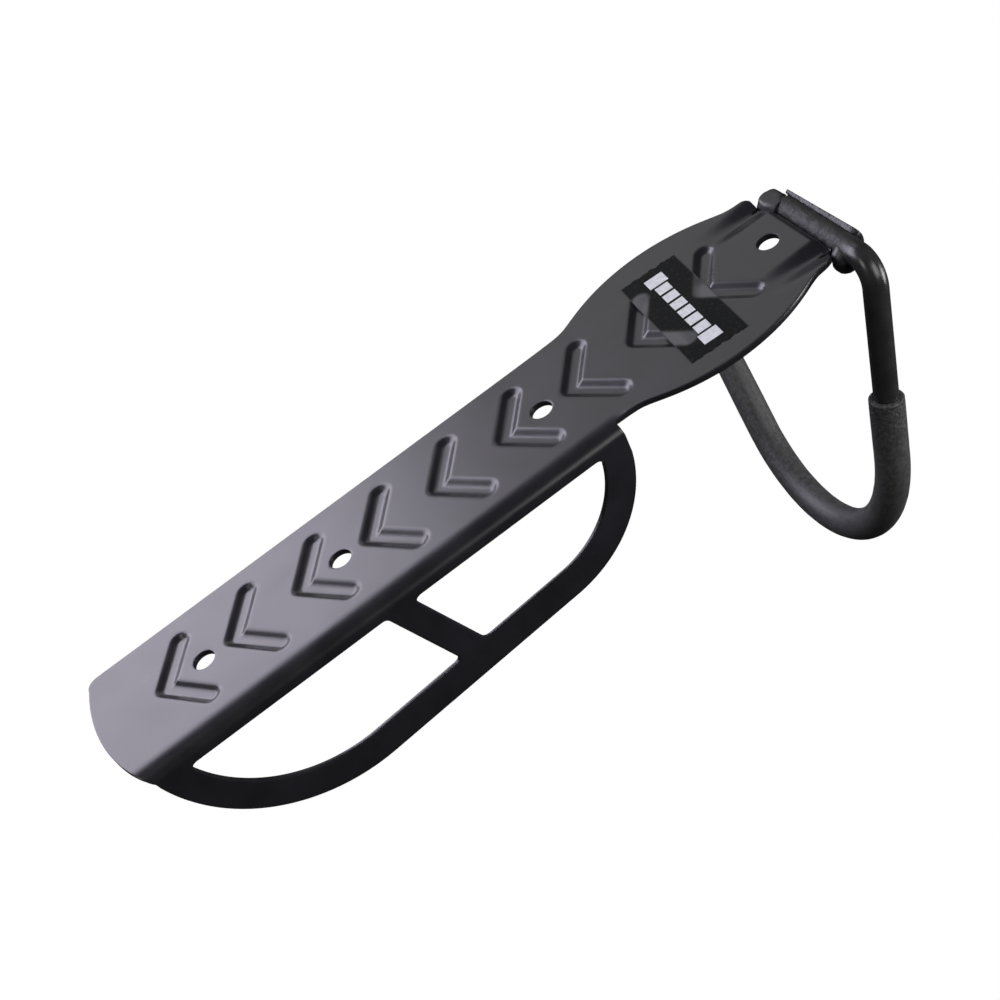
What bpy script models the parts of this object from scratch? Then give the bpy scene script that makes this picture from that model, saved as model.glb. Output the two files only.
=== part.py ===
"""Bicycle wall rack: a pressed steel wall plate with a side guard, and a sleeved wire hook
seated in the plate's rolled eye.

Metres, +Z up, as the rack hangs. The wall is the plane Y = 0 and the front faces -Y.
Seen from the front the guard is on the left (-X) and the hook's open end on the right (+X).
Heights are measured from the middle of the plate's back face, where the origin is.
"""

from math import acos, asin, atan2, cos, degrees, hypot, pi, radians, sin, sqrt

import bmesh
import bpy
from mathutils import Matrix, Vector

MM = 0.001

# Sheet
SHEET = 2.0  # thickness
HALF_WIDTH = 25.0  # of the plate between its folds
TAIL = -136.8  # lowest point of the plate
TAIL_ARC = 67.0  # radius of its bottom edge
TAIL_CORNER = 4.0
HEAD = 121.5  # top edge of the ears
HEAD_CORNER = 4.5
EAR_RADIUS, EAR_HEIGHT, EAR_OFFSET = 56.6, 81.0, 21.7  # arc that widens the head, and its centre
EAR_BLEND = 2.2  # softness where the ear leaves the plate's straight edge
EDGE_FROM, EDGE_STEP, EDGE_POINTS = 24.0, 3.4, 26  # heights of the points along the head's edge
CORNER_STEPS = 5

# Side guard, folded forward along the left edge
GUARD_FOLD = 3.6  # outer radius of the fold
GUARD_BOTTOM, GUARD_TOP = -132.0, 39.2  # ends of the fold line
GUARD_GAP = 3.0  # least distance from the fold's top end to the next point of the edge
GUARD_ARCS = ((-74.0, -6.8, 56.0), (-0.5, 3.4, 39.8))  # height, distance from the wall, radius
WINDOW_ARCS = ((-74.0, -7.5, 46.6), (-0.5, 2.7, 30.4))
GUARD_SILL = 6.1  # windows start this far from the wall
WINDOW_CORNER = 2.2
RIB_AT, RIB_LEAN = (-38.3, 20.5), 0.38  # a point on the rib's centre line, and its slope
RIB_HALF = 4.7  # half its height
ARC_STEPS = (18, 14)  # lower and upper arc
FOLD_STEPS = 6

# Chevrons pressed forward from the back
CHEVRONS, PITCH, FIRST_CHEVRON = 9, 25.0, -112.5
CHEVRON_HALF, CHEVRON_RISE = 14.7, 10.5  # half width, and how far the arms climb
GROOVE_HALF, GROOVE_DEPTH = 3.6, 1.5
RIDGE_HALF, RIDGE_HEIGHT = 4.6, 1.5
BEAD_ENDS = (0.3, 0.75)  # share of the full width at a bead's last two points
BEAD_TIPS = (0.75, 0.5, 0.0)  # how far they run past the arm's end, in half widths

# Screw holes
HOLE_RADIUS = 3.6
HOLES = (-98.6, -48.6, 26.4, 113.1)
PUNCH = 12.0  # length of a tool that goes right through the sheet

# Wire hook
WIRE = 4.0  # radius
CLEARANCE = 0.3  # left round the wire
EYE_HEIGHT, EYE_OUT = 127.7, 4.0  # centre of the eye
EYE_HALF = 18.5  # half width of the tab that forms it
EYE_FLARE = 2.0  # how much further the rolled sheet reaches toward the arm
EYE_FOLD = 2.6  # outer radius of the fold into the eye
EYE_LIP = 35.0  # degrees that the lip passes the top of the wire
ROLL_STEPS = 20
SLIT = 1.1  # cut between tab and ear
SLIT_DEPTH = 2.6
VALLEY = ((21.4, 98.0), (20.9, 104.0), (20.4, 110.0), (20.0, 115.0), (19.8, 117.6))
VALLEY_WIDTHS = (0.1, 0.4, 0.75, 1.0, 0.8)  # pressed beside the tab, deeper toward the head
VALLEY_HALF, VALLEY_DEPTH = 3.4, 1.5
WIRE_END = 18.2  # where the wire stops at the eye's open end
ARM_X = -34.0
ARM_BEND = 8.2
DROOP = 15.5  # degrees that the hook slopes down away from the wall
ARM_LENGTH = 69.3
LOOP_RADIUS, LOOP_TURN = 48.5, 136.5
TIP_LENGTH = 34.0
BEND_STEPS, LOOP_STEPS = 8, 22

# Sleeve over the hook
SLEEVE_START = 47.2  # along the arm from the eye
SLEEVE_RADIUS, SLEEVE_LOOP, SLEEVE_TIP = 5.65, 5.35, 5.15
SLEEVE_BORE = WIRE + CLEARANCE
SLEEVE_PAST_TIP = 1.5
MOUTH_DEPTH, MOUTH_LENGTH = 0.5, 1.3  # rounding of the cut end
THICK_LENGTH, TAPER_POINTS = 16.5, 8  # the part at full radius, then points over which it thins

# Welds
COLLAR = ((-20.9, 6.2), (-22.6, 6.0), (-24.8, 4.9))  # distance along the wire, radius
CAP = ((18.9, 5.8), (20.4, 5.6), (22.0, 4.8), (23.2, 3.4), (24.0, 1.6))
WELD_BACK = 0.4  # the welds stay this far inside the wall plane

# Label on the back
LABEL_WIDTH, LABEL_HEIGHT, LABEL_THICK = 51.5, 20.4, 0.2
LABEL_AT, LABEL_TILT = (-1.0, 79.6), 4.6


def collection(name, hidden=False):
    made = bpy.data.collections.new(name)
    made.hide_render = hidden
    bpy.context.scene.collection.children.link(made)
    return made


def material(name, color, roughness, metallic=0.0):
    made = bpy.data.materials.new(name)
    made.use_nodes = True
    shader = made.node_tree.nodes["Principled BSDF"]
    shader.inputs["Base Color"].default_value = (*color, 1.0)
    shader.inputs["Roughness"].default_value = roughness
    shader.inputs["Metallic"].default_value = metallic
    return made


def mesh_object(name, mesh, home):
    obj = bpy.data.objects.new(name, mesh)
    home.objects.link(obj)
    if home is cutters:
        obj.hide_render = True
        obj.display_type = "WIRE"
    return obj


def filled(bm, name, home):
    """A mesh object from bm with its faces turned outward."""
    bmesh.ops.recalc_face_normals(bm, faces=bm.faces)
    mesh = bpy.data.meshes.new(name)
    bm.to_mesh(mesh)
    bm.free()
    return mesh_object(name, mesh, home)


def prism(name, outline, along, home):
    """A closed solid: the outline, a list of points, swept by the vector along."""
    bm = bmesh.new()
    face = bm.faces.new([bm.verts.new(Vector(p) * MM) for p in outline])
    swept = bmesh.ops.extrude_face_region(bm, geom=[face])["geom"]
    moved = [v for v in swept if isinstance(v, bmesh.types.BMVert)]
    bmesh.ops.translate(bm, verts=moved, vec=Vector(along) * MM)
    return filled(bm, name, home)


def rod(name, points, radius, home, sides=5, radii=None):
    """A round rod along the points, with flat ends."""
    curve = bpy.data.curves.new(name, "CURVE")
    curve.dimensions = "3D"
    curve.bevel_depth = radius * MM
    curve.bevel_resolution = sides
    curve.use_fill_caps = True
    spline = curve.splines.new("POLY")
    spline.points.add(len(points) - 1)
    for i, p in enumerate(points):
        spline.points[i].co = (*(Vector(p) * MM), 1.0)
        if radii:
            spline.points[i].radius = radii[i] / radius
    bent = bpy.data.objects.new(name, curve)
    bpy.context.scene.collection.objects.link(bent)
    bpy.context.view_layer.update()
    bm = bmesh.new()
    bm.from_mesh(bent.to_mesh())
    bent.to_mesh_clear()
    bpy.data.objects.remove(bent)
    bpy.data.curves.remove(curve)
    bmesh.ops.remove_doubles(bm, verts=bm.verts, dist=0.002 * MM)
    return filled(bm, name, home)


def boolean(target, operation, *others):
    for other in others:
        step = target.modifiers.new(other.name, "BOOLEAN")
        step.operation = operation
        step.solver = "EXACT"
        step.object = other


def arc(centre, radius, start, stop, steps):
    """Points in a plane from start to stop, in degrees."""
    turn = [radians(start + (stop - start) * i / steps) for i in range(steps + 1)]
    return [(centre[0] + radius * cos(t), centre[1] + radius * sin(t)) for t in turn]


def half_width(height):
    """Half width of the plate, with the ear blended into its straight edge."""
    rise = EAR_RADIUS**2 - (height - EAR_HEIGHT) ** 2
    ear = sqrt(rise) - EAR_OFFSET if rise > 0 else -EAR_OFFSET
    gap = ear - HALF_WIDTH
    return HALF_WIDTH + 0.5 * (gap + sqrt(gap * gap + EAR_BLEND**2))


def tail_edge(x):
    return TAIL + TAIL_ARC - sqrt(TAIL_ARC**2 - x * x)


def guard_outline(arcs, out):
    """Two arcs and their common tangent as (height, distance out), from the bottom to the top."""
    (h1, d1, r1), (h2, d2, r2) = arcs
    tangent = degrees(atan2(d2 - d1, h2 - h1) + acos((r1 - r2) / hypot(h2 - h1, d2 - d1)))
    low = 180 - degrees(asin((out - d1) / r1))
    high = degrees(asin((out - d2) / r2))
    return arc((h1, d1), r1, low, tangent, ARC_STEPS[0]) + arc((h2, d2), r2, tangent, high, ARC_STEPS[1])


def plate_surface(home):
    """The back and outer surface of the folded sheet, as one open skin."""
    bm = bmesh.new()
    # right edge, bottom to top
    corner = HALF_WIDTH - TAIL_CORNER
    lean = degrees(asin(corner / TAIL_ARC))
    side = [(corner * t, tail_edge(corner * t)) for t in (0.25, 0.5, 0.75)]
    side += arc((corner, tail_edge(corner) + TAIL_CORNER), TAIL_CORNER, lean - 90, 0, CORNER_STEPS)
    heights = [EDGE_FROM + EDGE_STEP * i for i in range(EDGE_POINTS)]
    side += [(half_width(h), h) for h in heights]
    edge = half_width(HEAD - HEAD_CORNER)
    side += arc((edge - HEAD_CORNER, HEAD - HEAD_CORNER), HEAD_CORNER, 0, 90, CORNER_STEPS)
    fold_line = EYE_HEIGHT - WIRE - CLEARANCE - EYE_FOLD
    slit = [(EYE_HALF + SLIT, HEAD), (EYE_HALF + SLIT, HEAD - SLIT_DEPTH)]
    slit += [(EYE_HALF, HEAD - SLIT_DEPTH), (EYE_HALF, fold_line)]
    right = side + slit
    # left edge, top to bottom: the same head, then the fold line, then the tail's arc
    head = [p for p in side if p[1] > GUARD_TOP + GUARD_GAP]
    left = [(-x, z) for x, z in reversed(head + slit)]
    left += [(-HALF_WIDTH, GUARD_TOP), (-HALF_WIDTH, GUARD_BOTTOM)]
    left += [(-corner * t, tail_edge(corner * t)) for t in (1.0, 0.75, 0.5, 0.25, 0.0)]

    def vertex(x, y, z):
        return bm.verts.new(Vector((x, y, z)) * MM)

    flat = {p: vertex(p[0], 0.0, p[1]) for p in right + left}
    bm.faces.new([flat[p] for p in right + left])

    def strips(pair, rows):
        for row in rows:
            new = [vertex(*p) for p in row]
            bm.faces.new([pair[0], pair[1], new[1], new[0]])
            pair = new
        return pair

    # fold into the guard
    turn = [radians(90 * i / FOLD_STEPS) for i in range(1, FOLD_STEPS + 1)]
    bend = [(-HALF_WIDTH - GUARD_FOLD * sin(t), -GUARD_FOLD * (1 - cos(t))) for t in turn]
    line = [flat[(-HALF_WIDTH, GUARD_TOP)], flat[(-HALF_WIDTH, GUARD_BOTTOM)]]
    outline = guard_outline(GUARD_ARCS, GUARD_FOLD)
    rows = []
    for i, (x, y) in enumerate(bend, 1):
        share = i / len(bend)
        top = GUARD_TOP + share * (outline[-1][0] - GUARD_TOP)
        bottom = GUARD_BOTTOM + share * (outline[0][0] - GUARD_BOTTOM)
        rows.append([(x, y, top), (x, y, bottom)])
    line = strips(line, rows)
    face = -HALF_WIDTH - GUARD_FOLD
    bm.faces.new([line[0], line[1]] + [vertex(face, -d, h) for h, d in outline[1:-1]])

    # fold and roll into the eye
    reach = WIRE + CLEARANCE
    path = [(fold_line + EYE_FOLD * sin(t), EYE_FOLD * (1 - cos(t)), 0.0) for t in turn]
    rolled = [radians(180 - (180 + EYE_LIP) * i / ROLL_STEPS) for i in range(ROLL_STEPS + 1)]
    path += [
        (EYE_HEIGHT + reach * cos(t), EYE_OUT + reach * sin(t), EYE_FLARE * min(1.0, 2 - 2 * t / pi))
        for t in rolled
    ]
    line = [flat[(-EYE_HALF, fold_line)], flat[(EYE_HALF, fold_line)]]
    strips(line, [[(-EYE_HALF - flare, -d, h), (EYE_HALF, -d, h)] for h, d, flare in path])
    bmesh.ops.recalc_face_normals(bm, faces=bm.faces)
    if max(bm.faces, key=lambda f: f.calc_area()).normal.y < 0:
        bmesh.ops.reverse_faces(bm, faces=bm.faces)
    mesh = bpy.data.meshes.new("wall_plate")
    bm.to_mesh(mesh)
    bm.free()
    return mesh_object("wall_plate", mesh, home)


def bead(name, path, half, depth, out, home, widths=None):
    """A flattened rod along the path of (x, z) points, centred this far out from the wall."""
    ends = widths or [*BEAD_ENDS, *[1.0] * (len(path) - 2 * len(BEAD_ENDS)), *reversed(BEAD_ENDS)]
    points = [(x, 0.0, z) for x, z in path]
    made = rod(name, points, half, home, sides=2, radii=[half * w for w in ends])
    for vertex in made.data.vertices:
        vertex.co.y = vertex.co.y * depth / half - out * MM
    return made


def chevron_path(vertex_height, half):
    """Points down one arm of a chevron and up the other, with rounded ends."""
    length = hypot(CHEVRON_HALF, CHEVRON_RISE)
    along = Vector((CHEVRON_HALF, CHEVRON_RISE)) / length
    tips = [length + half * k for k in BEAD_TIPS]
    right = [(along.x * t, vertex_height + along.y * t) for t in tips]
    return right + [(0.0, vertex_height)] + [(-x, z) for x, z in reversed(right)]


def window(name, low_side, home):
    """One of the guard's windows: the inset frame outline on one side of the rib."""
    outline = guard_outline(WINDOW_ARCS, GUARD_SILL)
    shift = -RIB_HALF if low_side else RIB_HALF

    def rib(d):
        return RIB_AT[0] + shift + RIB_LEAN * (d - RIB_AT[1])

    kept = [(h, d) for h, d in outline if (h < rib(d)) == low_side]
    joined = outline.index(kept[-1 if low_side else 0])
    (h0, d0), (h1, d1) = outline[joined], outline[joined + (1 if low_side else -1)]
    share = (rib(d0) - h0) / ((h1 - h0) - RIB_LEAN * (d1 - d0))
    top = (h0 + share * (h1 - h0), d0 + share * (d1 - d0))
    foot = (rib(GUARD_SILL), GUARD_SILL)
    loop = kept + [top, foot] if low_side else [foot, top] + kept
    start = -HALF_WIDTH - GUARD_FOLD - PUNCH / 2
    made = prism(name, [(start, -d, h) for h, d in loop], (PUNCH, 0, 0), home)
    soften = made.modifiers.new("corners", "BEVEL")
    soften.width = WINDOW_CORNER * MM
    soften.segments = 3
    soften.limit_method = "ANGLE"
    soften.angle_limit = radians(40)
    return made


def cylinder(name, radius, length, place, home, sides=24):
    """A cylinder along Y through the place."""
    bm = bmesh.new()
    bmesh.ops.create_cone(
        bm, cap_ends=True, segments=sides, radius1=radius * MM, radius2=radius * MM,
        depth=length * MM, matrix=Matrix.Translation(Vector(place) * MM) @ Matrix.Rotation(pi / 2, 4, "X"),
    )
    return filled(bm, name, home)


def hook_path(start, tip):
    """The wire's centre line to a length past the loop, from its end in the eye or, with a start,
    from that distance along the arm."""
    out = Vector((0, -cos(radians(DROOP)), -sin(radians(DROOP))))
    side = Vector((1, 0, 0))
    corner = Vector((ARM_X, -EYE_OUT, EYE_HEIGHT))
    points = []
    if start is None:
        points.append(Vector((WIRE_END, -EYE_OUT, EYE_HEIGHT)))
        middle = corner + ARM_BEND * (side + out)
        for i in range(BEND_STEPS + 1):
            t = radians(90 * i / BEND_STEPS)
            points.append(middle - ARM_BEND * (sin(t) * side + cos(t) * out))
    else:
        points.append(corner + start * out)
    loop = corner + ARM_LENGTH * out
    for i in range(LOOP_STEPS + 1):
        t = radians(LOOP_TURN * i / LOOP_STEPS)
        points.append(loop + LOOP_RADIUS * ((1 - cos(t)) * side + sin(t) * out))
    last = radians(LOOP_TURN)
    points.append(points[-1] + tip * (cos(last) * out + sin(last) * side))
    return points


for old in list(bpy.data.objects):
    bpy.data.objects.remove(old)

rack = collection("bicycle_wall_rack")
cutters = collection("cutters", hidden=True)

powder_coat = material("powder_coat", (0.022, 0.022, 0.026), 0.32)
wire_paint = material("wire_paint", (0.02, 0.02, 0.022), 0.2)
sleeve_vinyl = material("sleeve_vinyl", (0.03, 0.03, 0.03), 0.75)
weld_paint = material("weld_paint", (0.025, 0.025, 0.028), 0.45)
label_ink = material("label_ink", (0.012, 0.014, 0.016), 0.3)

# Wall plate: folded sheet, pressed, pierced and rolled
plate = plate_surface(rack)
solid = plate.modifiers.new("sheet", "SOLIDIFY")
solid.thickness = SHEET * MM
solid.offset = -1.0
solid.use_even_offset = True
for i in range(CHEVRONS):
    height = FIRST_CHEVRON + i * PITCH
    path = chevron_path(height, RIDGE_HALF)
    ridge = bead(f"ridge_{i}", path, RIDGE_HALF, RIDGE_HEIGHT, SHEET, cutters)
    boolean(plate, "UNION", ridge)
for i in range(CHEVRONS):
    height = FIRST_CHEVRON + i * PITCH
    path = chevron_path(height, GROOVE_HALF)
    groove = bead(f"groove_{i}", path, GROOVE_HALF, GROOVE_DEPTH, 0.0, cutters)
    boolean(plate, "DIFFERENCE", groove)
for side in (-1, 1):
    path = [(side * x, z) for x, z in VALLEY]
    name = "left" if side < 0 else "right"
    wide = VALLEY_HALF + RIDGE_HALF - GROOVE_HALF
    ridge = bead(f"ridge_{name}", path, wide, RIDGE_HEIGHT, SHEET, cutters, VALLEY_WIDTHS)
    groove = bead(f"groove_{name}", path, VALLEY_HALF, VALLEY_DEPTH, 0.0, cutters, VALLEY_WIDTHS)
    boolean(plate, "UNION", ridge)
    boolean(plate, "DIFFERENCE", groove)
for name, low in (("low_window", True), ("high_window", False)):
    boolean(plate, "DIFFERENCE", window(name, low, cutters))
for i, height in enumerate(HOLES):
    place = (0.0, -SHEET, height)
    boolean(plate, "DIFFERENCE", cylinder(f"screw_hole_{i}", HOLE_RADIUS, PUNCH, place, cutters))
plate.data.materials.append(powder_coat)

# Hook: one wire, square through the eye, out along the arm and round the loop
wire = rod("hook_wire", hook_path(None, TIP_LENGTH), WIRE, rack)
wire.data.materials.append(wire_paint)

# Sleeve: a soft tube, stretched a little thinner round the loop
path = hook_path(SLEEVE_START, TIP_LENGTH + SLEEVE_PAST_TIP)
along = (path[1] - path[0]).normalized()
path[1:1] = [path[0] + along * MOUTH_LENGTH, path[0] + along * THICK_LENGTH]
thinning = [min(1.0, i / TAPER_POINTS) for i in range(len(path) - 4)]
radii = [SLEEVE_RADIUS - MOUTH_DEPTH, SLEEVE_RADIUS, SLEEVE_RADIUS]
radii += [SLEEVE_RADIUS + (SLEEVE_LOOP - SLEEVE_RADIUS) * share for share in thinning]
radii.append(SLEEVE_TIP)
sleeve = rod("hook_sleeve", path, SLEEVE_RADIUS, rack, radii=radii)
path = hook_path(SLEEVE_START - WIRE, TIP_LENGTH + SLEEVE_PAST_TIP + WIRE)
bore = rod("sleeve_bore", path, SLEEVE_BORE, cutters)
boolean(sleeve, "DIFFERENCE", bore)
sleeve.data.materials.append(sleeve_vinyl)

# Welds: a collar round the wire at the guard side of the eye, a cap over its end at the other
far = 2 * EYE_HALF
corners = [(-far, -far), (far, -far), (far, far), (-far, far)]
wall = [(x, -WELD_BACK, EYE_HEIGHT + z) for x, z in corners]
wall_space = prism("wall_space", wall, (0, far, 0), cutters)
for name, stations in (("weld_guard_side", COLLAR), ("weld_open_side", CAP)):
    path = [(x, -EYE_OUT, EYE_HEIGHT) for x, _ in stations]
    lump = rod(name, path, stations[0][1], rack, sides=3, radii=[r for _, r in stations])
    if stations is COLLAR:
        path = [(x, -EYE_OUT, EYE_HEIGHT) for x in (COLLAR[0][0] + WIRE, COLLAR[-1][0] - WIRE)]
        boolean(lump, "DIFFERENCE", rod("collar_bore", path, WIRE + CLEARANCE, cutters))
    boolean(lump, "DIFFERENCE", wall_space)
    lump.data.materials.append(weld_paint)

# Label: printed film on the back, bridging two chevrons
w, h = LABEL_WIDTH / 2, LABEL_HEIGHT / 2
tilt = Matrix.Rotation(radians(LABEL_TILT), 2)
corners = [tilt @ Vector(p) for p in ((-w, -h), (w, -h), (w, h), (-w, h))]
outline = [(LABEL_AT[0] + p.x, CLEARANCE, LABEL_AT[1] + p.y) for p in corners]
label = prism("label_film", outline, (0, LABEL_THICK, 0), rack)
label.data.materials.append(label_ink)
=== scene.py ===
# %% [markdown]
# # A bicycle wall rack
# The rack is one folded steel plate and one bent wire. The plate screws to a wall, the wire sticks
# out of it as a hook, and a bicycle hangs from the hook by its wheel. This lesson builds what the
# eye sees over the frame that the CAD part already fixed, so that every piece keeps its real place.

from math import acos, asin, atan2, cos, hypot, pi, radians, sin

import bmesh
import bpy
import numpy as np
from mathutils import Matrix, Vector, noise


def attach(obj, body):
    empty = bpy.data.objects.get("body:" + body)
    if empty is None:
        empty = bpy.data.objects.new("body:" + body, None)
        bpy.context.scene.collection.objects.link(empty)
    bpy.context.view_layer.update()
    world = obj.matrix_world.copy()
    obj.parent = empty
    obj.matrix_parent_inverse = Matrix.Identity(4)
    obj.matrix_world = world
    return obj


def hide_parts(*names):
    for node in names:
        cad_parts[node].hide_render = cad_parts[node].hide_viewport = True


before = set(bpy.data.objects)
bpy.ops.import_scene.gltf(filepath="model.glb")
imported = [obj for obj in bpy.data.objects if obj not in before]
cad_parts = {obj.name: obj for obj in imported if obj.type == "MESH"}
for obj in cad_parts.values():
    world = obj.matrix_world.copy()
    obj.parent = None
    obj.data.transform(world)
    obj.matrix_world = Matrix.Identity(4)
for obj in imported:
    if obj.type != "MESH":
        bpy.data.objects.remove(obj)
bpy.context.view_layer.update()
MM = 0.001
print("CAD nodes:", ", ".join(sorted(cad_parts)))

# %% [markdown]
# ## Finishes
# Every finish is a Principled shader fed by noise in object space. Object space is in metres here,
# so a noise scale of 1000 makes features about a millimetre wide, the same on every piece.

# %% Carry a value from one range to another
def spread(tree, value, low, high, start=0.0, stop=1.0):
    node = tree.nodes.new("ShaderNodeMapRange")
    for socket, number in zip(("From Min", "From Max", "To Min", "To Max"), (low, high, start, stop)):
        node.inputs[socket].default_value = number
    tree.links.new(value, node.inputs["Value"])
    return node.outputs["Result"]


# %% A finish with grain
def finish(name, dark, light, rough, patch, grain, depth, specular=0.5):
    """A coat between two colours, with uneven gloss and a fine relief depth metres high."""
    made = bpy.data.materials.new(name)
    made.use_nodes = True
    tree = made.node_tree
    shader = tree.nodes["Principled BSDF"]
    place = tree.nodes.new("ShaderNodeTexCoord").outputs["Object"]

    def mottle(scale, detail):
        node = tree.nodes.new("ShaderNodeTexNoise")
        node.inputs["Scale"].default_value = scale
        node.inputs["Detail"].default_value = detail
        tree.links.new(place, node.inputs["Vector"])
        return node.outputs["Fac"]

    broad, fine = mottle(patch, 4.0), mottle(grain, 3.0)
    mix = tree.nodes.new("ShaderNodeMix")
    mix.data_type = "RGBA"
    mix.inputs["A"].default_value = (*dark, 1.0)
    mix.inputs["B"].default_value = (*light, 1.0)
    tree.links.new(spread(tree, broad, 0.35, 0.65), mix.inputs["Factor"])
    tree.links.new(mix.outputs["Result"], shader.inputs["Base Color"])
    tree.links.new(spread(tree, broad, 0.3, 0.7, *rough), shader.inputs["Roughness"])
    bump = tree.nodes.new("ShaderNodeBump")
    bump.inputs["Distance"].default_value = depth
    tree.links.new(fine, bump.inputs["Height"])
    tree.links.new(bump.outputs["Normal"], shader.inputs["Normal"])
    shader.inputs["Specular IOR Level"].default_value = specular
    return made


powder = finish("powder coat", (0.014, 0.0135, 0.017), (0.02, 0.019, 0.024), (0.27, 0.33), 70, 1500, 6e-6)
gloss = finish("wire paint", (0.021, 0.021, 0.022), (0.029, 0.029, 0.03), (0.24, 0.34), 160, 900, 8e-6)
vinyl = finish("sleeve vinyl", (0.045, 0.045, 0.046), (0.08, 0.08, 0.082), (0.4, 0.6), 800, 1500, 7e-5, 0.4)
weld = finish("painted weld", (0.014, 0.014, 0.016), (0.028, 0.027, 0.031), (0.35, 0.5), 500, 600, 1.2e-4)

# %% [markdown]
# ## Rough places
# Three places are less even than the rest: the cut lip of the eye, the wire where it lies in the eye,
# and the parts of the sleeve nearest the wall. Limits along the object's own axes mark each of them.

# %% Rougher past some limits
def roughen(made, limits, scale, depth, roughness):
    """Coarser relief and another gloss past every limit: an axis, and where it starts and is full."""
    tree = made.node_tree
    shader = tree.nodes["Principled BSDF"]
    place = tree.nodes.new("ShaderNodeTexCoord").outputs["Object"]
    split = tree.nodes.new("ShaderNodeSeparateXYZ")
    tree.links.new(place, split.inputs["Vector"])

    def product(first, second):
        node = tree.nodes.new("ShaderNodeMath")
        node.operation = "MULTIPLY"
        tree.links.new(first, node.inputs[0])
        tree.links.new(second, node.inputs[1])
        return node.outputs["Value"]

    inside = None
    for axis, start, full in limits:
        past = spread(tree, split.outputs[axis], start * MM, full * MM)
        inside = product(inside, past) if inside else past
    grit = tree.nodes.new("ShaderNodeTexNoise")
    grit.inputs["Scale"].default_value = scale
    grit.inputs["Detail"].default_value = 4.0
    tree.links.new(place, grit.inputs["Vector"])
    bump = tree.nodes.new("ShaderNodeBump")
    bump.inputs["Distance"].default_value = depth
    tree.links.new(product(inside, grit.outputs["Fac"]), bump.inputs["Height"])
    tree.links.new(tree.nodes["Bump"].outputs["Normal"], bump.inputs["Normal"])
    tree.links.new(bump.outputs["Normal"], shader.inputs["Normal"])
    rough = tree.nodes.new("ShaderNodeMix")
    smooth = shader.inputs["Roughness"].links[0].from_socket
    tree.links.new(inside, rough.inputs["Factor"])
    tree.links.new(smooth, rough.inputs["A"])
    rough.inputs["B"].default_value = roughness
    tree.links.new(rough.outputs["Result"], shader.inputs["Roughness"])


roughen(powder, (("Z", 130.3, 130.6), ("Y", -2.2, -1.9)), 480, 5e-4, 0.42)
roughen(gloss, (("Z", 123.0, 123.4), ("X", -26.0, -20.0), ("Y", -8.5, -8.0)), 330, 8e-4, 0.6)
roughen(vinyl, (("Y", -64.0, -49.0),), 900, 9e-4, 0.45)
print("finishes:", ", ".join(m.name for m in (powder, gloss, vinyl, weld)))

# %% [markdown]
# ## Making a piece
# Each piece starts as numbers: points in millimetres and faces between them. The helper turns them
# into a mesh, applies its modifiers, shades it smooth and keeps corners sharper than an angle crisp.

# %% From points to a finished piece
def piece(name, points, faces, material, slot, nodes, modify=None, sharp=40):
    mesh = bpy.data.meshes.new(name)
    mesh.from_pydata((np.asarray(points, float) * MM).tolist(), [], [list(map(int, f)) for f in faces])
    obj = bpy.data.objects.new(name, mesh)
    bpy.context.scene.collection.objects.link(obj)
    bm = bmesh.new()
    bm.from_mesh(mesh)
    bmesh.ops.remove_doubles(bm, verts=bm.verts, dist=0.004 * MM)
    bmesh.ops.dissolve_degenerate(bm, edges=bm.edges, dist=0.001 * MM)
    bmesh.ops.recalc_face_normals(bm, faces=bm.faces)
    bm.to_mesh(mesh)
    bm.free()
    if modify:
        modify(obj)
        bpy.context.view_layer.update()
        settled = bpy.data.meshes.new_from_object(obj.evaluated_get(bpy.context.evaluated_depsgraph_get()))
        obj.modifiers.clear()
        obj.data = settled
    obj.data.materials.clear()
    obj.data.materials.append(material)
    obj.data.shade_smooth()
    obj.data.set_sharp_from_angle(angle=radians(sharp))
    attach(obj, "root")
    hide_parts(*nodes)
    print(name, len(obj.data.polygons), "faces")
    return obj


# %% [markdown]
# ## The plate's outline
# The plate is symmetric about its centre line except for the guard. Its edge is a straight side that
# a circle widens into the ears, so the half width is a soft maximum of a constant and an arc.

# %% Half width and tail edge
HALF, TAIL, HEAD = 25.0, -136.8, 121.5
SLIT_LOW, TAB_HALF, EAR_IN = 118.9, 18.5, 19.6
CORNER, GUARD_CORNER, FREE_CORNER = 4.0, 5.5, 2.8
EAR_RADIUS, EAR_HEIGHT, EAR_OFFSET, EAR_BLEND, TAIL_ARC = 56.6, 81.0, 21.7, 2.2, 67.0


def half_width(z, head_corner=GUARD_CORNER):
    ear = np.sqrt(np.maximum(EAR_RADIUS**2 - (z - EAR_HEIGHT) ** 2, 0.0)) - EAR_OFFSET
    gap = ear - HALF
    width = HALF + 0.5 * (gap + np.sqrt(gap * gap + EAR_BLEND**2))
    over = np.clip((z - (HEAD - head_corner)) / head_corner, 0.0, 1.0)
    return width - head_corner * (1.0 - np.sqrt(1.0 - over * over))


def tail_edge(x):
    flat = TAIL + TAIL_ARC - np.sqrt(TAIL_ARC**2 - np.minimum(x, HALF - CORNER) ** 2)
    over = np.clip((x - (HALF - CORNER)) / CORNER, 0.0, 1.0)
    return flat + CORNER * (1.0 - np.sqrt(1.0 - over * over)) * (x > 0)


print("half width at the ears:", round(float(half_width(np.array(EAR_HEIGHT))), 1))

# %% [markdown]
# ## The pressed relief
# A press pushes the chevrons and the two valleys beside the tab forward out of the back face. The
# press rounds every shoulder, so the depth is a cosine bell of the distance to the bead's line.

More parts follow.
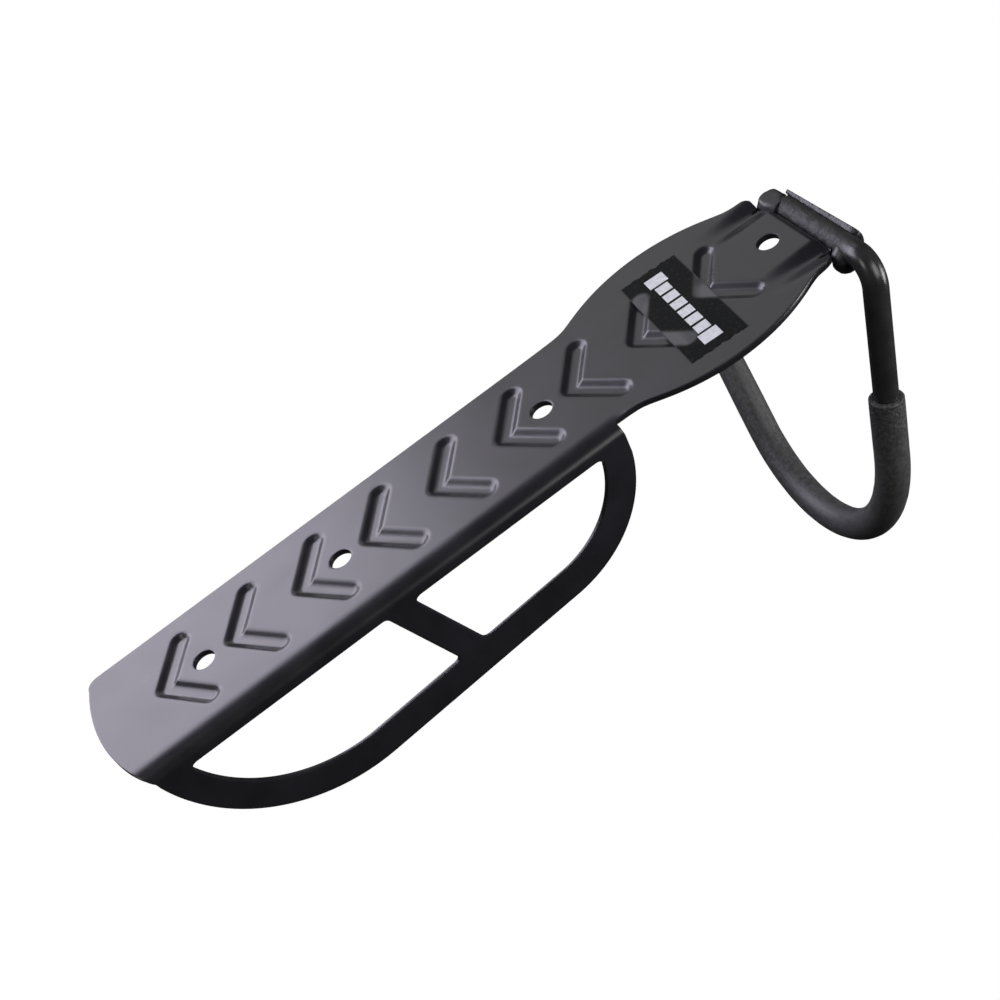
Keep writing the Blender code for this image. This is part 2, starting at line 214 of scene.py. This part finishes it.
# %% Depth of the pressing
GUARD_FACE, FOLD_WIDE, FOLD_DEEP = 28.6, 7.0, 4.0
FOLD_FADED, FOLD_FADE = 44.0, 4.8
CHEVRONS, FIRST, PITCH = 9, -112.5, 25.0
BEAD_WIDE, BEAD_RISE = 14.7, 10.5
GROOVE_DEEP, GROOVE_FLAT, SHOULDER = 1.25, 1.1, 2.75
VALLEY_LOW, VALLEY_LONG, VALLEY_DEEP = 99.0, 22.5, 2.3
VALLEY_AT, VALLEY_DRIFT, VALLEY_INNER, VALLEY_OUTER = 17.2, 0.8, 11.5, 7.5


def bell(distance, reach):
    return 0.5 + 0.5 * np.cos(pi * np.clip(distance / reach, 0.0, 1.0))


def chevron_depth(x, z):
    nearest = np.full(x.shape, 99.0)
    for i in range(CHEVRONS):
        base = FIRST + PITCH * i
        along = (abs(x) * BEAD_WIDE + (z - base) * BEAD_RISE) / (BEAD_WIDE**2 + BEAD_RISE**2)
        share = np.clip(along, 0.0, 1.0)
        nearest = np.minimum(nearest, np.hypot(abs(x) - BEAD_WIDE * share, z - base - BEAD_RISE * share))
    return GROOVE_DEEP * bell(np.maximum(nearest - GROOVE_FLAT, 0.0), SHOULDER)


def valley_depth(x, z):
    grow = np.clip((z - VALLEY_LOW) / VALLEY_LONG, 0.0, 1.0)
    bottom = VALLEY_AT + VALLEY_DRIFT * grow
    side = abs(x)
    inner = bell(bottom - side, bottom - VALLEY_INNER) * (side < bottom)
    outer = bell(side - bottom, VALLEY_OUTER) * (side >= bottom)
    return VALLEY_DEEP * grow * (inner + outer)


def fold_drop(x, z):
    """How far the back curves away before the guard's fold: the start of an ellipse."""
    over = np.clip((-x - (GUARD_FACE - FOLD_WIDE)) / FOLD_WIDE, 0.0, 1.0)
    return FOLD_DEEP * (1.0 - np.sqrt(1.0 - over * over)) * np.clip((FOLD_FADED - z) / FOLD_FADE, 0.0, 1.0)


def depth(x, z):
    return chevron_depth(x, z) + valley_depth(x, z) + fold_drop(x, z)


print("chevron depth on its line:", round(float(chevron_depth(np.array([0.0]), np.array([-12.5]))[0]), 2))

# %% [markdown]
# ## One skin for the whole sheet
# The plate, the fold, the guard, the tab and the rolled eye are one sheet of steel. So they are one
# skin of quads, patch by patch, with shared points where patches meet. Solidify then gives it the
# sheet's two millimetres, which keeps the thickness true round every fold.

# %% Patches and windows in them
def quads(rows, columns, first):
    i, j = np.meshgrid(np.arange(rows - 1), np.arange(columns - 1), indexing="ij")
    a = first + i * columns + j
    return np.stack([a, a + 1, a + columns + 1, a + columns], -1).reshape(-1, 4)


def nearest_on(loop, points):
    """The closest point of the closed outline to each point, and whether each is inside it."""
    start, stop = loop, np.roll(loop, -1, axis=0)
    along = stop - start
    share = ((points[:, None] - start) * along).sum(-1) / (along * along).sum(-1)
    at = start + np.clip(share, 0.0, 1.0)[..., None] * along
    pick = np.linalg.norm(points[:, None] - at, axis=-1).argmin(1)
    above = (start[:, 1] > points[:, None, 1]) != (stop[:, 1] > points[:, None, 1])
    rise = np.where(along[:, 1] == 0, 1e-9, along[:, 1])
    cross = start[:, 0] + (points[:, None, 1] - start[:, 1]) * along[:, 0] / rise
    inside = (above & (points[:, None, 0] < cross)).sum(1) % 2 == 1
    return at[np.arange(len(points)), pick], inside


def pierce(flat, faces, loop):
    """Drops the faces inside the outline, and pulls the points round them onto it."""
    _, gone = nearest_on(loop, flat[faces].mean(1))
    rim = np.intersect1d(faces[gone], faces[~gone])
    flat[rim] = nearest_on(loop, flat[rim])[0]
    return faces[~gone]


# %% The flat back with its screw holes
MIDDLE_COLUMNS, SIDE_COLUMNS = 57, 13
HOLES, HOLE_RADIUS = (-98.6, -48.6, 26.4, 113.1), 3.6
TAIL_TOP = -126.0  # below this the rows bend to follow the tail's edge


def across(z, guard_side):
    """Column positions across one row: fixed over the middle, stretched to the edge outside it."""
    middle = np.linspace(-TAB_HALF, TAB_HALF, MIDDLE_COLUMNS)
    share = np.linspace(0.0, 1.0, SIDE_COLUMNS)
    right = EAR_IN + (half_width(z, FREE_CORNER) - EAR_IN) * share
    reach = HALF if guard_side else half_width(z)
    left = EAR_IN + (reach - EAR_IN) * share
    return np.concatenate([-left[::-1], middle, right])


GUARD_HIGH = 39.2
rows = np.concatenate([
    np.linspace(TAIL, TAIL_TOP, 15)[:-1],
    np.linspace(TAIL_TOP, GUARD_HIGH, 237)[:-1],
    np.linspace(GUARD_HIGH, SLIT_LOW, 115),
])
x = np.array([across(z, z <= GUARD_HIGH + 1e-6) for z in rows])
z = np.repeat(rows[:, None], x.shape[1], axis=1)
lift = np.clip((TAIL_TOP - z) / (TAIL_TOP - TAIL), 0.0, 1.0)
z = z + (tail_edge(x) - TAIL) * lift
back = np.stack([x, z], -1).reshape(-1, 2)
back_faces = quads(*x.shape, 0)
turn = np.linspace(0, 2 * pi, 48, endpoint=False)
for height in HOLES:
    ring = np.stack([HOLE_RADIUS * np.cos(turn), height + HOLE_RADIUS * np.sin(turn)], -1)
    back_faces = pierce(back, back_faces, ring)
back_points = np.stack([back[:, 0], -depth(back[:, 0], back[:, 1]), back[:, 1]], -1)
print("back:", len(back_faces), "quads")

# %% The ears past the slit
def ear(side):
    height = SLIT_LOW + (HEAD - SLIT_LOW) * np.sin(np.linspace(0, pi / 2, 9))
    share = np.linspace(0.0, 1.0, SIDE_COLUMNS)
    width = half_width(height, FREE_CORNER if side > 0 else GUARD_CORNER)
    x = EAR_IN + (width[:, None] - EAR_IN) * share
    z = np.repeat(height[:, None], SIDE_COLUMNS, axis=1)
    return np.stack([side * x, -depth(x, z), z], -1)


# %% [markdown]
# ## The rolled eye
# The tab at the head folds forward, dips under the wire and wraps over its front and top. Its cut
# edge ends up facing the wall. The tab's sides still sag a little as they enter the fold.

# %% The tab and its roll
EYE_Z, EYE_OUT, REACH, FOLD, FLARE = 127.7, 4.0, 4.05, 2.9, 2.0
LIP, LIP_SKEW, LIP_RAGGED, LIP_WORN = -36.0, 3.0, 3.0, 22.0  # degrees past the top
WORN_FROM, FLARE_FROM = 16.5, 12.5  # distance from the centre line
fold_line = EYE_Z - REACH - FOLD


def eye():
    columns = np.linspace(-TAB_HALF, TAB_HALF, MIDDLE_COLUMNS)
    path = [(z, 0.0) for z in np.linspace(SLIT_LOW, fold_line, 5)]
    path += [(fold_line + FOLD * sin(t), FOLD * (1 - cos(t))) for t in np.radians(np.linspace(7, 90, 12))]
    patch = []
    for i, (z, out) in enumerate(path):
        sag = depth(columns, np.full(MIDDLE_COLUMNS, min(z, HEAD))) * cos(min(out, FOLD) / FOLD * pi / 2)
        patch.append(np.stack([columns, -out - sag, np.full(MIDDLE_COLUMNS, z)], -1))
    ragged = np.array([LIP_RAGGED * noise.noise((c * 0.5, 3.1, 0.0)) for c in columns])
    worn = np.clip((abs(columns) - WORN_FROM) / (TAB_HALF - WORN_FROM), 0.0, 1.0) ** 2
    lip = np.radians(LIP - LIP_SKEW * columns / TAB_HALF + ragged + LIP_WORN * worn)
    guard_end = np.clip((-FLARE_FROM - columns) / (TAB_HALF - FLARE_FROM), 0.0, 1.0)
    for share in np.linspace(0, 1, 40):
        t = pi + (lip - pi) * share
        wide = columns - FLARE * guard_end * np.clip(2 - 2 * t / pi, 0.0, 1.0)
        patch.append(np.stack([wide, -EYE_OUT - REACH * np.sin(t), EYE_Z + REACH * np.cos(t)], -1))
    return np.array(patch)


# %% [markdown]
# ## The side guard
# The guard is the same sheet folded forward along one edge. Its rim is two arcs joined by a straight
# line, and two windows leave a frame and a slanting rib.

# %% Outline of the guard
SILL = 6.1
GUARD_ARCS = ((-74.0, -6.8, 56.0), (-0.5, 3.4, 39.8))
WINDOW_ARCS = ((-74.0, -7.5, 46.6), (-0.5, 2.7, 30.4))
RIB, RIB_HALF, RIB_LEAN = (-38.3, 20.5), 4.7, 0.38
WINDOW_CORNER, CORNER_CLEAR = 2.2, 4.0
LOW_POINTS, HIGH_POINTS = 90, 70


def guard_outline(arcs, out):
    """Two arcs and the line that touches both, as (height, distance from the wall)."""
    low, high = arcs
    run, rise = high[0] - low[0], high[1] - low[1]
    tangent = atan2(rise, run) + acos((low[2] - high[2]) / hypot(run, rise))
    first = np.linspace(pi - asin((out - low[1]) / low[2]), tangent, LOW_POINTS)
    last = np.linspace(tangent, asin((out - high[1]) / high[2]), HIGH_POINTS)
    bends = [(c[0] + c[2] * np.cos(t), c[1] + c[2] * np.sin(t)) for c, t in ((low, first), (high, last))]
    return np.concatenate([np.stack(a, -1) for a in bends])


def rounded(loop, radius):
    """The outline with each real corner replaced by a small curve."""
    out = []
    for i, p in enumerate(loop):
        before, after = loop[i - 1], loop[(i + 1) % len(loop)]
        a, b = (p - before) / np.linalg.norm(p - before), (after - p) / np.linalg.norm(after - p)
        angle = acos(np.clip(a @ b, -1, 1))
        if angle < radians(15):
            out.append(p)
            continue
        cut = radius * sin(angle / 2) / cos(angle / 2)
        s, e = p - a * cut, p + b * cut
        out += [s * (1 - t) ** 2 + p * 2 * t * (1 - t) + e * t * t for t in np.linspace(0, 1, 9)]
    return np.array(out)


def window(low_side):
    outline = guard_outline(WINDOW_ARCS, SILL)

    def rib(d):
        return RIB[0] + (-RIB_HALF if low_side else RIB_HALF) + RIB_LEAN * (d - RIB[1])

    begin, end = outline[LOW_POINTS - 1], outline[LOW_POINTS]
    line = begin + (end - begin) * np.linspace(0, 1, 400)[1:-1, None]
    outline = np.concatenate([outline[:LOW_POINTS], line, outline[LOW_POINTS:]])
    kept = outline[(outline[:, 0] < rib(outline[:, 1])) == low_side]
    foot = np.array([[rib(SILL), SILL]])
    far = kept[-1 if low_side else 0]
    gap = np.linalg.norm(kept - far, axis=1)
    kept = kept[(gap > CORNER_CLEAR) | (gap == 0.0)]
    loop = np.concatenate([kept, foot] if low_side else [foot, kept])
    return rounded(loop, WINDOW_CORNER)


# %% Fold and guard face
rim = guard_outline(GUARD_ARCS, FOLD_DEEP)
line_z = z[: len(rows)][rows <= GUARD_HIGH + 1e-6][:, 0]
share = (line_z - line_z[0]) / (line_z[-1] - line_z[0])
guard_z = rim[0, 0] + share * (rim[-1, 0] - rim[0, 0])
start = asin((HALF - GUARD_FACE + FOLD_WIDE) / FOLD_WIDE)
fold = np.array([
    np.stack([
        np.full(len(share), -(GUARD_FACE - FOLD_WIDE) - FOLD_WIDE * sin(t)),
        np.full(len(share), -FOLD_DEEP * (1 - cos(t))),
        line_z + (guard_z - line_z) * (t - start) / (pi / 2 - start),
    ], -1)
    for t in np.linspace(start, pi / 2, 10)
])
reach = np.interp(guard_z, rim[:, 0], rim[:, 1])
out = FOLD_DEEP + (reach - FOLD_DEEP)[None] * np.linspace(0, 1, 61)[:, None]
face = np.stack([np.repeat(guard_z[None], 61, axis=0), out], -1).reshape(-1, 2)
face_quads = quads(61, len(guard_z), 0)
for low_side in (True, False):
    face_quads = pierce(face, face_quads, window(low_side))
guard_points = np.stack([np.full(len(face), -GUARD_FACE), -face[:, 1], face[:, 0]], -1)
print("guard:", len(face_quads), "quads")

# %% Join the patches and give them thickness
SHEET, THINNED, EDGE_ROUND = 2.0, 0.22, 0.22
points, faces = [back_points], [back_faces]
for patch in (ear(1), ear(-1), eye(), fold):
    faces.append(quads(patch.shape[0], patch.shape[1], sum(map(len, points))))
    points.append(patch.reshape(-1, 3))
faces.append(face_quads + sum(map(len, points)))
points.append(guard_points)
points, faces = np.concatenate(points), np.concatenate(faces)


def thicken(obj):
    if obj.data.polygons[len(obj.data.polygons) // 8].normal.y < 0:
        obj.data.flip_normals()
    group = obj.vertex_groups.new(name="rolled thin")
    for vertex in obj.data.vertices:
        x, _, z = vertex.co / MM
        rolled = min(1.0, max(0.0, (z - EYE_Z) / REACH))
        group.add([vertex.index], 1.0 - rolled * (THINNED + THINNED * x / TAB_HALF), "REPLACE")
    solid = obj.modifiers.new("sheet", "SOLIDIFY")
    solid.thickness = SHEET * MM
    solid.offset = -1.0
    solid.vertex_group = "rolled thin"
    solid.thickness_vertex_group = 0.0
    edge = obj.modifiers.new("rounded edge", "BEVEL")
    edge.width = EDGE_ROUND * MM
    edge.segments = 2
    edge.limit_method = "ANGLE"
    edge.angle_limit = radians(50)
    edge.use_clamp_overlap = False


piece("plate", points, faces, powder, "powder_coat", ["wall_plate"], thicken)

# %% [markdown]
# ## The hook
# One wire runs through the eye, turns square, slopes down away from the wall and curls back round in
# the same plane. A ring of points is carried along the path without twisting, which keeps the wire
# round through the tight bend.

# %% Carry a ring along a path
SIDES = 40


def tube(path, radii, sides=SIDES):
    """Rings round the path, as points and quads."""
    path = np.asarray(path)
    way = np.gradient(path, axis=0)
    way /= np.linalg.norm(way, axis=1)[:, None]
    side = np.cross(way[0], (0.3, 0.2, 0.93))
    points = []
    for p, w, r in zip(path, way, radii):
        side = side - w * (side @ w)
        side /= np.linalg.norm(side)
        t = np.linspace(0, 2 * pi, sides, endpoint=False)[:, None]
        points.append(p + r * (np.cos(t) * side + np.sin(t) * np.cross(w, side)))
    n = len(path)
    ring = np.arange(sides)
    beside = np.roll(ring, -1)
    faces = [
        np.stack([i * sides + ring, i * sides + beside, (i + 1) * sides + beside, (i + 1) * sides + ring], -1)
        for i in range(n - 1)
    ]
    return np.concatenate(points), np.concatenate(faces).tolist()


def capped(path, radii, sides=SIDES):
    points, faces = tube(path, radii, sides)
    return points, faces + [list(range(sides))[::-1], list(range(len(points) - sides, len(points)))]


# %% The hook's centre line
DROOP = radians(15.5)
OUT = np.array((0, -cos(DROOP), -sin(DROOP)))
SIDE = np.array((1.0, 0, 0))
ELBOW = np.array((-34.0, -EYE_OUT, EYE_Z))
BEND, ARM, LOOP, TURN, TIP = 8.2, 69.3, 48.5, radians(136.5), 34.0
WIRE, WIRE_END = 4.0, 14.0


def straight(a, b, n):
    return [a + (b - a) * t for t in np.linspace(0, 1, n, endpoint=False)]


def arm_and_loop(start, tip):
    """Points from a distance along the arm to a length past the loop."""
    path = straight(ELBOW + start * OUT, ELBOW + ARM * OUT, 30)
    middle = ELBOW + ARM * OUT
    path += [middle + LOOP * ((1 - cos(t)) * SIDE + sin(t) * OUT) for t in np.linspace(0, TURN, 90)]
    way = cos(TURN) * OUT + sin(TURN) * SIDE
    return path[:-1] + straight(path[-1], path[-1] + tip * way, 14) + [path[-1] + tip * way]


seat = np.array((WIRE_END, -EYE_OUT, EYE_Z))
pivot = ELBOW + BEND * (SIDE + OUT)
wire = straight(seat, ELBOW + BEND * SIDE, 24)
wire += [pivot - BEND * (sin(t) * SIDE + cos(t) * OUT) for t in np.linspace(0, pi / 2, 32, endpoint=False)]
wire += arm_and_loop(BEND, TIP)
piece("wire", *capped(wire, [WIRE] * len(wire)), gloss, "wire_paint", ["hook_wire"])

# %% [markdown]
# ## The sleeve
# A soft tube is pushed over the hook so that it doesn't scratch the rim. It starts at a thick cut
# end, and it is stretched thinner where it goes round the loop.

# %% The sleeve with its cut end
SLEEVE, PAST_TIP, BORE = 47.2, 1.4, 4.04
path = arm_and_loop(SLEEVE, TIP + PAST_TIP)
along = np.concatenate([[0], np.cumsum(np.linalg.norm(np.diff(path, axis=0), axis=1))])
outer = np.interp(along, [0, 0.5, 1.2, 40, 75, 150, along[-1] - 0.8, along[-1]],
                  [5.2, 5.58, 5.65, 5.6, 5.36, 5.26, 5.1, 4.8])
outer = outer + [0.04 * noise.noise((a * 0.25, 0.4, 7.0)) for a in along]
path, outer = list(path), list(outer)
mouth = [(path[0] + (path[1] - path[0]) * t, r) for t, r in ((0.0, 4.9), (0.25, 5.45), (0.55, 5.62))]
skin_path = [p for p, _ in mouth] + path[1:]
skin_radii = [r for _, r in mouth] + outer[1:]
skin, skin_faces = tube(skin_path, skin_radii)
bore, bore_faces = tube(skin_path, [BORE] * len(skin_path))
total = len(skin)
ring = np.arange(SIDES)
beside = np.roll(ring, -1)
ends = [(k + ring, k + beside, k + total + beside, k + total + ring) for k in (0, total - SIDES)]
closing = np.concatenate([np.stack(e, -1) for e in ends]).tolist()
faces = skin_faces + (np.array(bore_faces) + total).tolist() + closing
piece("sleeve", np.concatenate([skin, bore]), faces, vinyl, "sleeve_vinyl", ["hook_sleeve"])

# %% [markdown]
# ## The welds
# The wire is held in the eye by a weld at each end, painted over. A weld bead is lumpy, so each is a
# round body pushed in and out by noise.

# %% Two lumps
def lump(name, stations, nodes, seed, shift):
    """A body along X through (x, radius) stations, off the wire's axis by the shift and made uneven."""
    points, faces = [], []
    sides = 36
    for x, r in stations:
        for k in range(sides):
            t = 2 * pi * k / sides
            ripple = 0.6 * noise.noise((x * 0.35 + seed, 1.6 * cos(t), 1.6 * sin(t)))
            rr = max(0.3, r + ripple * min(1.0, r / 4))
            y = min(-EYE_OUT + shift[0] + rr * cos(t), 0.1)
            z = EYE_Z + shift[1] + rr * sin(t)
            points.append((x + 0.5 * noise.noise((seed, 2 * cos(t), 2 * sin(t))), y, z))
    for i in range(len(stations) - 1):
        for k in range(sides):
            j = (k + 1) % sides
            faces.append([i * sides + k, i * sides + j, (i + 1) * sides + j, (i + 1) * sides + k])
    last = (len(stations) - 1) * sides
    faces += [list(range(sides))[::-1], list(range(last, last + sides))]
    return piece(name, points, faces, weld, "weld_paint", nodes, sharp=60)


ring = (
    (18.6, 3.4), (19.6, 4.4), (20.8, 4.9), (22.0, 4.9),
    (23.1, 4.6), (24.1, 3.9), (24.8, 3.0), (25.3, 1.7),
)
lump("guard_side_weld", [(-x, r) for x, r in ring], ["weld_guard_side"], 2.0, (-1.9, -1.9))
cap = (
    (12.8, 3.9), (14.0, 4.3), (15.6, 4.7), (18.0, 4.9), (19.8, 4.7),
    (21.0, 4.3), (22.0, 3.5), (22.6, 2.4), (22.9, 1.1),
)
lump("open_side_weld", cap, ["weld_open_side"], 5.0, (0.3, -1.5))

# %% [markdown]
# ## The label
# A thin printed film is stuck across the back between two chevrons, a little crooked. The print here
# is plain blocks with no lettering. Its short edges are torn, and it turns cloudy where it bridges a
# groove with no metal under it.

# %% The film's finish
def film_finish():
    made = bpy.data.materials.new("label film")
    made.use_nodes = True
    tree = made.node_tree
    shader = tree.nodes["Principled BSDF"]
    clear = tree.nodes.new("ShaderNodeAttribute")
    clear.attribute_name = "clear"
    mix = tree.nodes.new("ShaderNodeMix")
    mix.data_type = "RGBA"
    mix.inputs["A"].default_value = (0.002, 0.0025, 0.003, 1.0)
    mix.inputs["B"].default_value = (0.12, 0.12, 0.124, 1.0)
    shader.inputs["Specular IOR Level"].default_value = 0.07
    tree.links.new(mix.outputs["Result"], shader.inputs["Base Color"])
    place = tree.nodes.new("ShaderNodeTexCoord").outputs["Object"]
    grain = tree.nodes.new("ShaderNodeTexNoise")
    grain.inputs["Scale"].default_value = 900
    tree.links.new(place, grain.inputs["Vector"])
    specks = spread(tree, grain.outputs["Fac"], 0.55, 0.75, 0.0, 0.12)
    worn = tree.nodes.new("ShaderNodeMath")
    worn.operation = "ADD"
    worn.use_clamp = True
    tree.links.new(clear.outputs["Fac"], worn.inputs[0])
    tree.links.new(specks, worn.inputs[1])
    tree.links.new(worn.outputs["Value"], mix.inputs["Factor"])
    tree.links.new(spread(tree, grain.outputs["Fac"], 0.0, 1.0, 0.2, 0.45), shader.inputs["Roughness"])
    bump = tree.nodes.new("ShaderNodeBump")
    bump.inputs["Distance"].default_value = 1.5e-5
    tree.links.new(grain.outputs["Fac"], bump.inputs["Height"])
    tree.links.new(bump.outputs["Normal"], shader.inputs["Normal"])
    return made


# %% The film and its plain print
LABEL, TILT = (-1.0, 79.6), radians(4.6)
LABEL_WIDE, LABEL_HIGH = 50.6, 20.4
FILM_LIFT, PRINT_LIFT = 0.12, 0.16
BLOCKS, BLOCK_PITCH, BLOCKS_FROM, BLOCK = 6, 5.3, -13.25, (4.2, 2.35)
END_BLOCK, END_AT = (5.2, 3.3), 18.85


def on_label(a, b, lift):
    """From the label's own width and height to the back of the plate."""
    x = LABEL[0] + a * cos(TILT) - b * sin(TILT)
    z = LABEL[1] + a * sin(TILT) + b * cos(TILT)
    sink = chevron_depth(np.array([x]), np.array([z]))[0]
    return x, lift - 0.22 * sink, z, sink


cells, points = (105, 43), []
clear = []
for i in range(cells[0]):
    for j in range(cells[1]):
        b = -LABEL_HIGH / 2 + LABEL_HIGH * j / (cells[1] - 1)
        tear = 0.9 * noise.noise((b * 0.5, 1.0, 0)) + 0.45 * noise.noise((b * 2.1, 4.0, 0))
        a = -LABEL_WIDE / 2 + LABEL_WIDE * i / (cells[0] - 1)
        a += tear * (abs(i / (cells[0] - 1) - 0.5) * 2) ** 6
        x, y, z, sink = on_label(a, b, FILM_LIFT)
        points.append((x, y, z))
        haze = 0.5 + 0.9 * noise.noise((a * 0.12, b * 0.16, 2.0))
        cloudy = min(1.0, sink * 1.4) * max(0.0, min(1.0, haze + 0.35))
        clear.append(0.5 if j in (0, cells[1] - 1) else cloudy)
film = piece("film", points, quads(*cells, 0), film_finish(), "label_ink", ["label_film"])
attribute = film.data.attributes.new("clear", "FLOAT", "POINT")
for i, value in enumerate(clear):
    attribute.data[i].value = value

ink = finish("label print", (0.6, 0.61, 0.64), (0.74, 0.75, 0.78), (0.35, 0.5), 600, 1500, 5e-6)
points, faces = [], []
blocks = [(BLOCK_PITCH * k + BLOCKS_FROM, *BLOCK) for k in range(BLOCKS)]
for a, wide, high in [(-END_AT, *END_BLOCK), *blocks, (END_AT, *END_BLOCK)]:
    low = -high
    steps = 5
    for i in range(steps):
        for j in range(steps):
            corners = [(i, j), (i + 1, j), (i + 1, j + 1), (i, j + 1)]
            faces.append(range(len(points), len(points) + 4))
            points += [
                on_label(a - wide / 2 + wide * u / steps, low + (high - low) * v / steps, PRINT_LIFT)[:3]
                for u, v in corners
            ]
piece("print", points, faces, ink, "label_ink", ["label_film"])

# %% [markdown]
# ## Studio
# The rack is shown from behind, rolled over, as it would lie for a catalogue picture. The background
# is plain white. A large soft light at the upper left gives the steel its broad sheen. Four weaker
# ones pick out the edges, the wire and the sleeve. The surroundings are brighter ahead of the camera
# than behind it, so black steel stays dark.

# %% Camera
eye_at = Vector((-0.4656, 0.3545, -0.0512))
right = Vector((-0.4277, -0.4225, 0.7991))
up = Vector((0.4603, 0.6590, 0.5948))
ahead = Vector((0.7779, -0.6223, 0.0874))
lens = bpy.data.cameras.new("camera")
lens.lens, lens.sensor_width, lens.clip_end = 70.5, 36.0, 100.0
lens.shift_x, lens.shift_y = 0.0008, -0.001
camera = bpy.data.objects.new("camera", lens)
camera.matrix_world = Matrix((right, up, -ahead)).transposed().to_4x4()
camera.location = eye_at
bpy.context.scene.collection.objects.link(camera)
bpy.context.scene.camera = camera
print("camera at", [round(c, 3) for c in eye_at])

# %% Soft lights
DISTANCE = 0.578  # from the camera to the middle of the rack, in metres
middle = eye_at + ahead * DISTANCE


def softbox(name, across, above, toward, size, power, tint=(1.0, 1.0, 1.0)):
    """An area light aimed at the rack, placed in the camera's own directions, in metres."""
    light = bpy.data.lights.new(name, "AREA")
    light.size, light.energy, light.color = size, power, tint
    obj = bpy.data.objects.new(name, light)
    bpy.context.scene.collection.objects.link(obj)
    obj.location = middle + right * across + up * above - ahead * toward
    obj.rotation_euler = (middle - obj.location).to_track_quat("-Z", "Y").to_euler()


softbox("key", -0.82, 0.53, -0.207, 0.74, 9.5, (0.96, 0.92, 1.08))
softbox("top", -0.35, 0.9, -0.25, 0.55, 0.9)
softbox("strip", 0.95, 0.25, 0.1, 0.4, 5.0)
softbox("side", -0.75, 0.15, 0.6, 0.3, 1.5)
softbox("front", 0.5, 0.25, 0.85, 0.6, 5.5)

# %% Surroundings
world = bpy.data.worlds.new("studio")
bpy.context.scene.world = world
world.use_nodes = True
tree = world.node_tree
sky = tree.nodes["Background"]
look = tree.nodes.new("ShaderNodeTexCoord")
facing = tree.nodes.new("ShaderNodeVectorMath")
facing.operation = "DOT_PRODUCT"
facing.inputs[1].default_value = ahead
tree.links.new(look.outputs["Generated"], facing.inputs[0])
level = spread(tree, facing.outputs["Value"], 0.25, 0.8, 0.38, 0.8)
level.node.interpolation_type = "SMOOTHSTEP"
tree.links.new(level, sky.inputs["Strength"])
bpy.context.scene.view_settings.view_transform = "Standard"

# %% White floor and backdrop
def plain_white(name, mesh):
    """A surface that the camera sees as plain white and that adds no light of its own."""
    made = bpy.data.materials.new(name)
    made.use_nodes = True
    tree = made.node_tree
    tree.nodes.remove(tree.nodes["Principled BSDF"])
    glow = tree.nodes.new("ShaderNodeEmission")
    tree.links.new(glow.outputs["Emission"], tree.nodes["Material Output"].inputs["Surface"])
    mesh.materials.append(made)
    obj = bpy.data.objects.new(name, mesh)
    bpy.context.scene.collection.objects.link(obj)
    obj.visible_diffuse = obj.visible_glossy = obj.visible_transmission = obj.visible_shadow = False


FLOOR_DEPTH = -0.6
for name, size in (("floor", 3.0), ("backdrop", 8.0)):
    bm = bmesh.new()
    if name == "floor":
        bmesh.ops.create_circle(bm, cap_ends=True, radius=size, segments=48)
        bmesh.ops.translate(bm, verts=bm.verts, vec=(0, 0, FLOOR_DEPTH))
    else:
        bmesh.ops.create_icosphere(bm, subdivisions=4, radius=size)
    mesh = bpy.data.meshes.new(name)
    bm.to_mesh(mesh)
    bm.free()
    plain_white(name, mesh)
